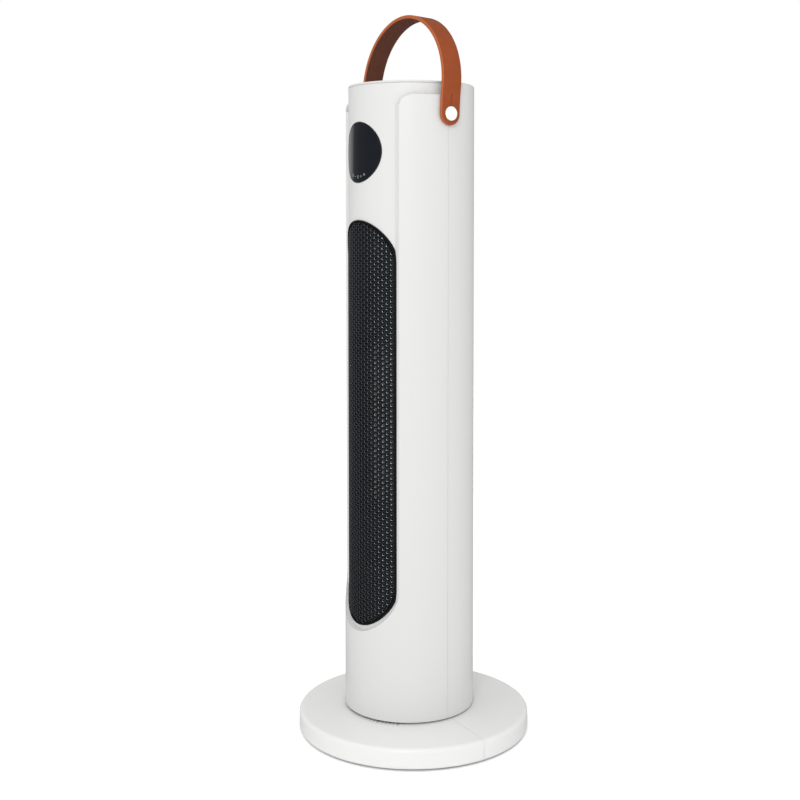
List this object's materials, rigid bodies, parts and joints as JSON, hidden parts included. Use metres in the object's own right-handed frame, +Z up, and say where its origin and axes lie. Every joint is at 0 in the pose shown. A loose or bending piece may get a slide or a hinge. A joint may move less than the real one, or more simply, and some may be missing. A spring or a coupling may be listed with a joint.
{
  "type": "ceramic tower heater",
  "caption": "Slim round tower heater with a perforated front grille, round touch display and leather carry strap, on an oscillating disc base.",
  "frame": {"origin": "centre of the round base on the floor", "axes": "+Z up, the grille and display face -Y, +X is on the right of someone who faces the grille"},
  "size_m": [0.24, 0.24, 0.7408],
  "materials": {
    "white_housing": "satin",
    "white_base": "satin",
    "white_stud": "gloss",
    "black_plastic": "satin",
    "grille_black": "satin",
    "display_black": "gloss",
    "bezel_dark": "gloss",
    "display_module": "matte",
    "circuit_board": "satin",
    "steel": "brushed",
    "plated_steel": "satin",
    "fin_aluminium": "matte",
    "heating_ceramic": "matte",
    "frame_plastic": "matte",
    "rubber": "matte",
    "acetal": "satin",
    "impeller_black": "satin",
    "leather": "satin",
    "switch_black": "gloss",
    "relay_blue": "satin",
    "capacitor_yellow": "satin",
    "terminal_grey": "matte",
    "bronze": "satin"
  },
  "bodies": {
    "base": {"base_front": "white_base", "base_rear": "white_base", "base_feet": "rubber", "base_screws": "steel", "cord_gland": "rubber", "pedestal_hub": "black_plastic", "fixed_gear": "acetal", "glide_ring": "acetal", "spindle_retainer": "plated_steel", "retainer_screws": "steel"},
    "tower": {"turntable": "black_plastic", "front_housing": "white_housing", "rear_housing": "white_housing", "top_cap": "white_housing", "housing_screws": "steel", "grille_frame": "black_plastic", "grille_mesh": "grille_black", "display_lens": "display_black", "display_bezel": "bezel_dark", "display_module": "display_module", "display_board": "circuit_board", "display_holder": "frame_plastic", "air_duct": "black_plastic", "heater_frame": "frame_plastic", "ceramic_bars": "heating_ceramic", "heater_fins": "fin_aluminium", "thermal_cutout": "plated_steel", "fan_motor": "plated_steel", "motor_bracket": "plated_steel", "motor_screws": "steel", "shaft_bush": "bronze", "bearing_bracket": "plated_steel", "fan_scroll": "frame_plastic", "power_board": "circuit_board", "relays": "relay_blue", "filter_capacitor": "capacitor_yellow", "terminal_block": "terminal_grey", "tilt_switch": "switch_black", "board_standoffs": "acetal", "power_switch": "switch_black", "oscillation_motor": "plated_steel", "oscillation_motor_screws": "steel", "handle_stud_right": "white_stud", "handle_stud_left": "white_stud"},
    "pinion": {"drive_pinion": "acetal"},
    "fan": {"impeller": "impeller_black", "fan_shaft": "steel"},
    "handle": {"handle_strap": "leather"},
    "rocker": {"power_rocker": "switch_black"}
  },
  "joints": [
    {"name": "tower_oscillation", "type": "hinge", "parent": "base", "child": "tower", "pos_m": [0, -0.0055, 0.029], "axis": [0, 0, 1], "range_deg": [-40, 40]},
    {"name": "pinion_spin", "type": "hinge", "parent": "tower", "child": "pinion", "pos_m": [0.036, -0.0055, 0.026], "axis": [0, 0, 1], "range_deg": [-120, 120]},
    {"name": "fan_spin", "type": "hinge", "parent": "tower", "child": "fan", "pos_m": [0, 0.0125, 0.32], "axis": [0, 0, 1], "continuous": true},
    {"name": "handle_swing", "type": "hinge", "parent": "tower", "child": "handle", "pos_m": [0, -0.0055, 0.636], "axis": [1, 0, 0], "range_deg": [-90, 90]},
    {"name": "switch_rock", "type": "hinge", "parent": "tower", "child": "rocker", "pos_m": [0, 0.0531, 0.075], "axis": [1, 0, 0], "range_deg": [-8, 8]}
  ],
  "couplings": [
    {"joint": "pinion_spin", "follows": "tower_oscillation", "ratio": 3}
  ]
}
